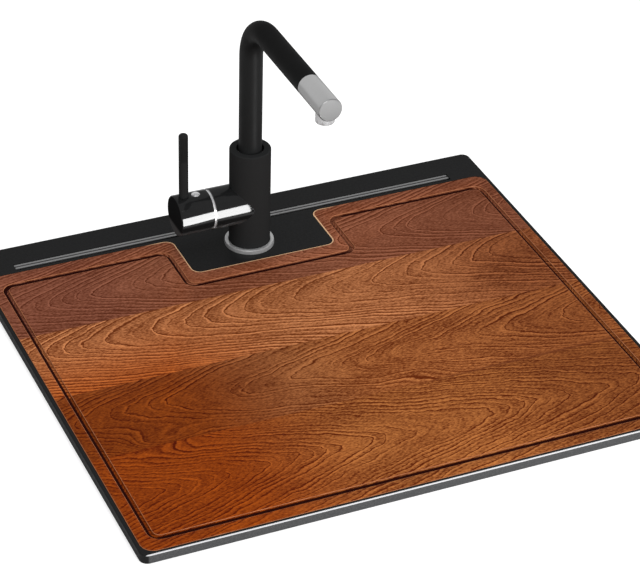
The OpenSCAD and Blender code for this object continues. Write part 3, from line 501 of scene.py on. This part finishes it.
# The groove's bottom and its left wall are painted dark as shade, less so right of the notch
facing = tree.nodes.new("ShaderNodeVectorMath")
facing.operation = "DOT_PRODUCT"
tree.links.new(tree.nodes.new("ShaderNodeTexCoord").outputs["Normal"], facing.inputs[0])
facing.inputs[1].default_value = SHADE_TOWARD
below_top = fade(tree, height, (BOARD_TOP - 0.3) * MM, (BOARD_TOP - 0.8) * MM)
painted_groove_shade = times(tree, fade(tree, facing.outputs["Value"], 0.66, 0.86), below_top)
in_groove = calc(tree, "GREATER_THAN", height, (BOARD_TOP - GROOVE_DEPTH) * MM)
painted_groove_shade = times(tree, painted_groove_shade, in_groove)
by_notch = times(tree, fade(tree, along, *LESS_SHADE_LEFT), fade(tree, along, *LESS_SHADE_RIGHT))
by_notch = times(tree, by_notch, fade(tree, across, *LESS_SHADE_BACK))
painted_groove_shade = times(tree, painted_groove_shade, fade(tree, by_notch, 0.0, 1.0, 1.0, 0.5))
wood = blend_colours(tree, painted_groove_shade, wood, GROOVE_SHADE)
# A pale line round the notch's edge is a painted highlight
wood = blend_colours(tree, notch_highlight_mask(tree, along, across), wood, NOTCH_HIGHLIGHT)
paint(tree, shader, wood, fade(tree, paleness, 0.0, 1.0, 0.66, 0.48))
relief(tree, shader, paleness, 0.00012, 0.35)

sanded_edge, tree, shader = surface("sanded wood edge", (0.4, 0.15, 0.06), 0.6, specular=0.16)
x, y, _ = axes_of(tree)
fibres = noise(tree, place(tree, scale=(60, 900, 900)), 1, 3, 0.6)
oiled = blend_colours(tree, fade(tree, fibres, 0.3, 0.7), (0.30, 0.10, 0.04), (0.48, 0.19, 0.085))
# The rounded edge round the notch gets the same painted highlight
painted_notch_highlight = notch_highlight_mask(tree, over(tree, x, MM), over(tree, y, MM))
paint(tree, shader, blend_colours(tree, painted_notch_highlight, oiled, NOTCH_HIGHLIGHT))
board = softened("cutting_board", "board", board_wood, width=0.0006,
                 edge_mat=sanded_edge)

# ---------- Waste ----------
# A pressed steel strainer cup drops through the bowl's hole on a gasket; below the floor a black
# plastic waste body is drawn up against a second gasket by one long screw.
OUTLET_AXIS, OUTLET_RADIUS = (0.0, 0.01), 0.0239
HOSE_RADIUS = 0.011
AT_HEIGHT, ON_ROUND = 0.00001, 0.0003   # how near a point counts as on a ring and on the round
pressed = one_pattern("pressed steel", (0.56, 0.565, 0.57), 0.24, grain=(1, 2),
                      stretch=(40, 40, 1800), tones=((0.50, 0.505, 0.51), (0.64, 0.64, 0.64)),
                      glosses=(0.18, 0.32), depth=0.00001, metallic=0.75)
finish_with(pressed, "strainer_flange", "strainer_basket", "basket_post", "waste_screw",
            "overflow_cover")

gasket = one_pattern("gasket rubber", (0.016, 0.016, 0.017), 0.72, grain=(180, 3, 0.6),
                     tones=((0.012, 0.012, 0.013), (0.03, 0.03, 0.031)),
                     glosses=(0.62, 0.84), depth=0.00005, specular=0.3)
finish_with(gasket, "strainer_gasket", "waste_gasket", "basket_seal", "overflow_seal", "base_seal",
            "rubber_washer", "spout_seals", "spray_seal")

moulded = one_pattern("moulded waste plastic", (0.028, 0.028, 0.03), 0.5, grain=(900, 2),
                      tones=((0.022, 0.022, 0.024), (0.036, 0.036, 0.038)),
                      depth=0.00005, strength=0.6, specular=0.4)


def cut_thread(piece, at, radius, low, high, pitch, depth):
    """Cuts the rings of a thread into an upright round of a piece."""
    bpy.ops.object.select_all(action="DESELECT")
    bpy.context.view_layer.objects.active = piece
    piece.select_set(True)
    bpy.ops.object.mode_set(mode="EDIT")
    bpy.ops.mesh.select_mode(type="VERT")
    turns = int((high - low) / pitch)
    roots = [low + (turn + 0.5) * pitch for turn in range(turns)]
    crests = [low + turn * pitch for turn in range(turns + 1)]
    for z in roots + crests:
        bpy.ops.mesh.select_all(action="SELECT")
        bpy.ops.mesh.bisect(plane_co=(*at, z), plane_no=(0, 0, 1))
    bpy.ops.mesh.select_all(action="DESELECT")
    bpy.ops.object.mode_set(mode="OBJECT")
    for point in piece.data.vertices:
        off = math.hypot(point.co.x - at[0], point.co.y - at[1])
        in_root = any(abs(point.co.z - z) < AT_HEIGHT for z in roots)
        point.select = in_root and abs(off - radius) < ON_ROUND
    bpy.ops.object.mode_set(mode="EDIT")
    narrower = (radius - depth) / radius
    bpy.ops.transform.resize(value=(narrower, narrower, 1), center_override=(*at, 0))
    bpy.ops.mesh.select_all(action="SELECT")
    bpy.ops.mesh.normals_make_consistent(inside=False)
    bpy.ops.object.mode_set(mode="OBJECT")
    bpy.ops.object.shade_smooth_by_angle(angle=SMOOTH)


# The outlet has a thread for the trap's nut
waste = softened("waste_body", "sink", moulded, width=0.0005)
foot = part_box("waste_body")[0][2]
cut_thread(waste, OUTLET_AXIS, OUTLET_RADIUS, low=foot + 0.001, high=foot + 0.0325,
           pitch=0.00231, depth=0.0012)

# The overflow pipe is a ribbed hose between its two bends
pipe = softened("overflow_pipe", "sink", moulded, width=0.0004)
pipe_low, pipe_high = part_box("overflow_pipe")
cut_thread(pipe, (0.0, pipe_high[1] - HOSE_RADIUS), HOSE_RADIUS,
           low=pipe_low[2] + 0.038, high=-0.069, pitch=0.0042, depth=0.0012)

# ---------- Tap: base ring, body and deck fixing ----------
# A satin ring trims the tap's foot. The body is one casting, an upright with a side branch, in
# a matt black coating. A threaded brass shank passes through the deck and a nut clamps it.
TAP_AXIS = (-0.004, 0.177)
SHANK_RADIUS = 0.016
# Pairs say where the coating starts to change and where the change is complete
BODY_SURFACE = 0.02115, 0.0213   # from the axis; past it lies the branch
BRANCH_TOP = 0.0800, 0.0795
BRANCH_REFLECTION_LOW = 0.0500, 0.0455      # below it the branch is painted lighter, as a reflection of the deck
STRIPE_FOOT = 0.0440, 0.0480
SPOUT_FOOT = 0.1208, 0.1212
ARM_FROM = 0.225, 0.250
KNOB_END = -0.0846, -0.0849
satin = one_pattern("satin ring", (0.60, 0.60, 0.605), 0.3, grain=(1, 2), stretch=(40, 40, 400),
                    tones=((0.42, 0.42, 0.425), (0.54, 0.54, 0.54)),
                    glosses=(0.26, 0.34), depth=0.00001, strength=0.3, metallic=0.5)
base_ring = softened("tap_base_ring", "sink", satin, width=0.0004, segments=3)

coating, tree, shader = surface("black coating", (0.0175, 0.0175, 0.0178), 0.45, specular=0.3)
x, y, z = axes_of(tree)
powder = noise(tree, place(tree), 1900, 2, 0.6)
cloudy = noise(tree, place(tree), 60, 2)
# The branch and the knob, which the hand polishes, are smooth; the body and the spout are matt
off_axis = length_of(tree, minus(tree, x, TAP_AXIS[0]), minus(tree, y, TAP_AXIS[1]))
branch = times(tree, fade(tree, off_axis, *BODY_SURFACE), fade(tree, z, *BRANCH_TOP))
matt_black = blend_colours(tree, powder, (0.0180, 0.0185, 0.0188), (0.0230, 0.0236, 0.0239))
# The smooth branch's colour: dark above, and below it a painted reflection of the deck
polished = blend_colours(tree, fade(tree, z, *BRANCH_REFLECTION_LOW),
                         (0.0102, 0.0104, 0.0106), (0.060, 0.0605, 0.061))
black = blend_colours(tree, branch, matt_black, polished)
# The coating is darker from the spout's foot up; along the arm it is painted darker again, as
# shade on the arm
black = blend_colours(tree, fade(tree, z, *SPOUT_FOOT), black, (0.62, 0.62, 0.62), "MULTIPLY")
black = blend_colours(tree, fade(tree, z, *ARM_FROM), black, (0.62, 0.60, 0.60), "MULTIPLY")
# The knob's end face is matt again
branch = times(tree, branch, minus(tree, 1.0, fade(tree, x, *KNOB_END)))
smooth = fade(tree, cloudy, 0.3, 0.7, 0.07, 0.10)
matt = fade(tree, cloudy, 0.3, 0.7, 0.46, 0.54)
paint(tree, shader, black, choose(tree, branch, matt, smooth))
glossy = times(tree, branch, fade(tree, z, *STRIPE_FOOT, 0.25, 1.0))
upright = times(tree, fade(tree, z, *SPOUT_FOOT, 0.0, 0.2), fade(tree, z, *ARM_FROM, 1.0, 0.4))
shine = plus(tree, fade(tree, glossy, 0.0, 1.0, 0.0, 0.5), upright)
tree.links.new(shine, shader.inputs["Specular IOR Level"])
relief(tree, shader, powder, 0.000004, 0.4)
finish_with(coating, "tap_body", "spout_tube")

brass = one_pattern("machined brass", (0.62, 0.42, 0.16), 0.3, grain=(1, 2),
                    stretch=(50, 50, 2600), tones=((0.52, 0.34, 0.12), (0.70, 0.50, 0.22)),
                    glosses=(0.22, 0.4), depth=0.00001, metallic=0.75)
finish_with(brass, "cartridge_nut")
softened("shank_nut", "sink", brass, width=0.0005)
shank = softened("threaded_shank", "sink", brass, width=0.0004)
cut_thread(shank, TAP_AXIS, SHANK_RADIUS, low=-0.0395, high=0.0085, pitch=0.002, depth=0.0011)

# ---------- Tap: cartridge, control knob and lever ----------
# A ceramic-disc cartridge sits in the branch behind a chrome trim ring. Its stem carries the
# knob, which turns for temperature and tips for flow by the rod; a chrome plug hides the screw.
ceramic = one_pattern("cartridge ceramic", (0.72, 0.69, 0.6), 0.5, grain=(300, 2),
                      tones=((0.66, 0.63, 0.55), (0.78, 0.75, 0.67)),
                      glosses=(0.42, 0.58), depth=0.00003)
finish_with(ceramic, "mixer_cartridge", "cartridge_turret", "spout_bush")

chrome = one_pattern("bright chrome", (0.78, 0.78, 0.79), 0.24, grain=(140, 2),
                     tones=((0.74, 0.74, 0.75), (0.82, 0.82, 0.83)),
                     glosses=(0.20, 0.28), metallic=0.62)
finish_with(chrome, "knob_plug")
trim = softened("trim_ring", "sink", chrome, width=0.0003)

# Hands have worn the coating thin along the knob's and the lever's edges; their lighter colour is
# also a painted sheen
rubbed_and_sheen, tree, shader = surface("rubbed coating", (0.03, 0.0305, 0.031), 0.3, specular=0.3)
patches = noise(tree, place(tree), 260, 3, 0.6)
paint(tree, shader,
      blend_colours(tree, fade(tree, patches, 0.4, 0.65),
                    (0.017, 0.0174, 0.0176), (0.045, 0.0455, 0.046)),
      fade(tree, patches, 0.3, 0.7, 0.26, 0.42))
knob = softened("control_knob", "handle", coating, width=0.0004,
                edge_mat=rubbed_and_sheen)
softened("lever_rod", "handle", coating, width=0.0003, edge_mat=rubbed_and_sheen)

machined = one_pattern("machined steel", (0.5, 0.51, 0.52), 0.32, grain=(1200, 2),
                       tones=((0.44, 0.45, 0.46), (0.58, 0.58, 0.59)),
                       glosses=(0.26, 0.4), depth=0.00001, metallic=1.0)
finish_with(machined, "stem_pin", "cartridge_stem", "grub_screw", "spout_lock_screw")

# ---------- Spray head, hose and aerator ----------
# The pull-out head is a pale grey sleeve with a flat end. A chrome collar under its tip holds
# the aerator's perforated insert, and a braided hose leads back into the arm.
BRAID = 420
sleeve = one_pattern("satin sleeve", (0.62, 0.62, 0.62), 0.3, grain=(1600, 2, 0.6),
                     tones=((0.53, 0.53, 0.53), (0.61, 0.61, 0.61)),
                     depth=0.000008, strength=0.5, metallic=0.85)
rounded_end = one_pattern("polished end edge", (0.85, 0.85, 0.85), 0.22, grain=(500, 2),
                          glosses=(0.18, 0.28), metallic=0.8)
head = softened("spray_head", "head", sleeve, width=0.0006, segments=3,
                edge_mat=rounded_end)
collar = softened("aerator_collar", "head", chrome, width=0.0003)

braid, tree, shader = surface("hose braid", (0.08, 0.085, 0.09), 0.5)
weave = tree.nodes.new("ShaderNodeTexWave")
weave.bands_direction = "DIAGONAL"
weave.inputs["Scale"].default_value = BRAID
tree.links.new(place(tree), weave.inputs["Vector"])
strands = weave.outputs["Fac"]
paint(tree, shader,
      blend_colours(tree, strands, (0.04, 0.042, 0.045), (0.16, 0.165, 0.17)))
relief(tree, shader, strands, 0.0003)
finish_with(braid, "spray_hose")

nozzle = one_pattern("aerator plastic", (0.2, 0.21, 0.22), 0.4, grain=(700, 2),
                     tones=((0.16, 0.17, 0.18), (0.26, 0.27, 0.28)),
                     glosses=(0.32, 0.5), depth=0.00003)
finish_with(nozzle, "aerator_insert")

# ---------- Worktop floor ----------
# A plain white floor lies at the level of the worktop and has its cut-out, so the rim stands
# on it as on a worktop. From below it is clear, and the bowl and the waste can be seen.
CUT_OUT = (0.54, 0.49)
BORDER = 4.0
FLOOR_Z = -0.0003
FLOOR_GLOW = 0.42
bpy.ops.object.select_all(action="DESELECT")
bpy.ops.mesh.primitive_plane_add(size=1, location=(0, 0, FLOOR_Z))
floor = bpy.context.object
floor.name = "worktop_floor"
floor.scale = (CUT_OUT[0] + 2 * BORDER, CUT_OUT[1] + 2 * BORDER, 1)
bpy.ops.object.transform_apply(location=True, rotation=True, scale=True)
bpy.ops.object.mode_set(mode="EDIT")
bpy.ops.mesh.select_all(action="SELECT")
bpy.ops.mesh.inset(thickness=BORDER, depth=0)
bpy.ops.mesh.delete(type="FACE")
bpy.ops.object.mode_set(mode="OBJECT")
floor_white = bpy.data.materials.new("floor white")
floor_white.use_nodes = True
tree = floor_white.node_tree
tree.nodes.clear()
output = tree.nodes.new("ShaderNodeOutputMaterial")
matt = tree.nodes.new("ShaderNodeBsdfDiffuse")
lift = tree.nodes.new("ShaderNodeEmission")
lift.inputs["Color"].default_value = (1, 1, 1, 1)
rays = tree.nodes.new("ShaderNodeLightPath")
mirrored = rays.outputs["Is Glossy Ray"]
tree.links.new(blend_colours(tree, mirrored, (0.8, 0.8, 0.8), (0.45, 0.45, 0.45)),
               matt.inputs["Color"])
seen = calc(tree, "MAXIMUM", rays.outputs["Is Camera Ray"], rays.outputs["Is Transmission Ray"])
tree.links.new(times(tree, seen, FLOOR_GLOW), lift.inputs["Strength"])
total = tree.nodes.new("ShaderNodeAddShader")
tree.links.new(matt.outputs["BSDF"], total.inputs[0])
tree.links.new(lift.outputs["Emission"], total.inputs[1])
clear = tree.nodes.new("ShaderNodeBsdfTransparent")
facing = tree.nodes.new("ShaderNodeNewGeometry")
either = tree.nodes.new("ShaderNodeMixShader")
tree.links.new(facing.outputs["Backfacing"], either.inputs["Fac"])
tree.links.new(total.outputs["Shader"], either.inputs[1])
tree.links.new(clear.outputs["BSDF"], either.inputs[2])
tree.links.new(either.outputs["Shader"], output.inputs["Surface"])
floor.data.materials.append(floor_white)

# ---------- Studio light ----------
# Two wide soft lights, overhead and in front, light everything. The other lamps are seen only
# as mirror images, on the tap and its bright trim. The room is white to the eye.
STRIPE_X, STRIPE_Z, STRIPE_TURN = -0.038, 0.0535, math.radians(5)
FILL_X, FILL_Z = -0.040, 0.0230
PANELS_Y = 0.120
TUBE_MIDDLE = 0.124
ROOM_LIGHT = 0.62   # how bright the room is for the part; the eye sees it full white


def panel(name, at, toward, width, height, power):
    """A soft rectangular lamp at one place, facing another."""
    bpy.ops.object.light_add(type="AREA", location=at)
    lamp = bpy.context.object
    lamp.name = name
    lamp.data.shape = "RECTANGLE"
    lamp.data.size = width
    lamp.data.size_y = height
    lamp.data.energy = power
    lamp.visible_camera = False
    lamp.rotation_mode = "QUATERNION"
    lamp.rotation_quaternion = (Vector(toward) - Vector(at)).to_track_quat("-Z", "Y")
    return lamp


def mirrored_in(name, lamps, pieces):
    """These lamps draw mirror images only, and only in these pieces."""
    mirrors = bpy.data.collections.new(name)
    for piece in pieces:
        mirrors.objects.link(piece)
    for lamp in lamps:
        lamp.visible_diffuse = False
        lamp.light_linking.receiver_collection = mirrors


overhead = panel("overhead", (0.0, -0.3, 2.4), (0, 0, 0), width=2.2, height=2.2, power=28)
front = panel("front", (0.30, -1.35, 0.32), (0, 0, 0.05), width=0.9, height=0.6, power=13)
for lamp in (overhead, front):
    lamp.visible_glossy = False
# Two panels close to the tap draw the bright stripe along the branch and the knob
stripe = panel("stripe", (STRIPE_X, PANELS_Y, STRIPE_Z), (STRIPE_X, TAP_AXIS[1], STRIPE_Z),
               width=0.078, height=0.038, power=0.20)
stripe.rotation_quaternion = stripe.rotation_quaternion @ Quaternion((0, 0, 1), STRIPE_TURN)
low_fill = panel("low fill", (FILL_X, PANELS_Y, FILL_Z), (FILL_X, TAP_AXIS[1], FILL_Z),
                 width=0.10, height=0.021, power=0.0045)
mirrored_in("branch mirrors", (stripe, low_fill), (nodes["tap_body"], knob, trim))
# A tall narrow panel draws a soft line down the spout's upright
tube_light = panel("tube light", (0.025, 0.0865, TUBE_MIDDLE), (*TAP_AXIS, TUBE_MIDDLE),
                   width=0.010, height=0.18, power=0.05)
mirrored_in("spout mirrors", (tube_light,), (nodes["spout_tube"],))
# The bright metal mirrors a wide softbox above the back wall and a lamp at the front left
softbox = panel("softbox", (0.0, 2.0, 1.25), (0.0, 0.0, 1.25), width=5.0, height=2.5, power=17)
rim_light = panel("rim light", (-0.80, -1.60, 1.75), (0.0, 0.1, 0.2),
                  width=1.6, height=1.2, power=16)
mirrored_in("bright metal", (softbox, rim_light),
            (head, collar, base_ring, trim, nodes["knob_plug"]))
board.visible_glossy = False

room = bpy.data.worlds.new("studio room")
bpy.context.scene.world = room
room.use_nodes = True
tree = room.node_tree
backdrop = tree.nodes["Background"]
backdrop.inputs["Color"].default_value = (1, 1, 1, 1)
rays = tree.nodes.new("ShaderNodeLightPath")
white = calc(tree, "MAXIMUM", rays.outputs["Is Camera Ray"], rays.outputs["Is Transmission Ray"])
dim = times(tree, rays.outputs["Is Glossy Ray"], ROOM_LIGHT - 1)
lit = plus(tree, plus(tree, times(tree, white, 1 - ROOM_LIGHT), ROOM_LIGHT), dim)
tree.links.new(lit, backdrop.inputs["Strength"])
bpy.context.scene.view_settings.view_transform = "Standard"
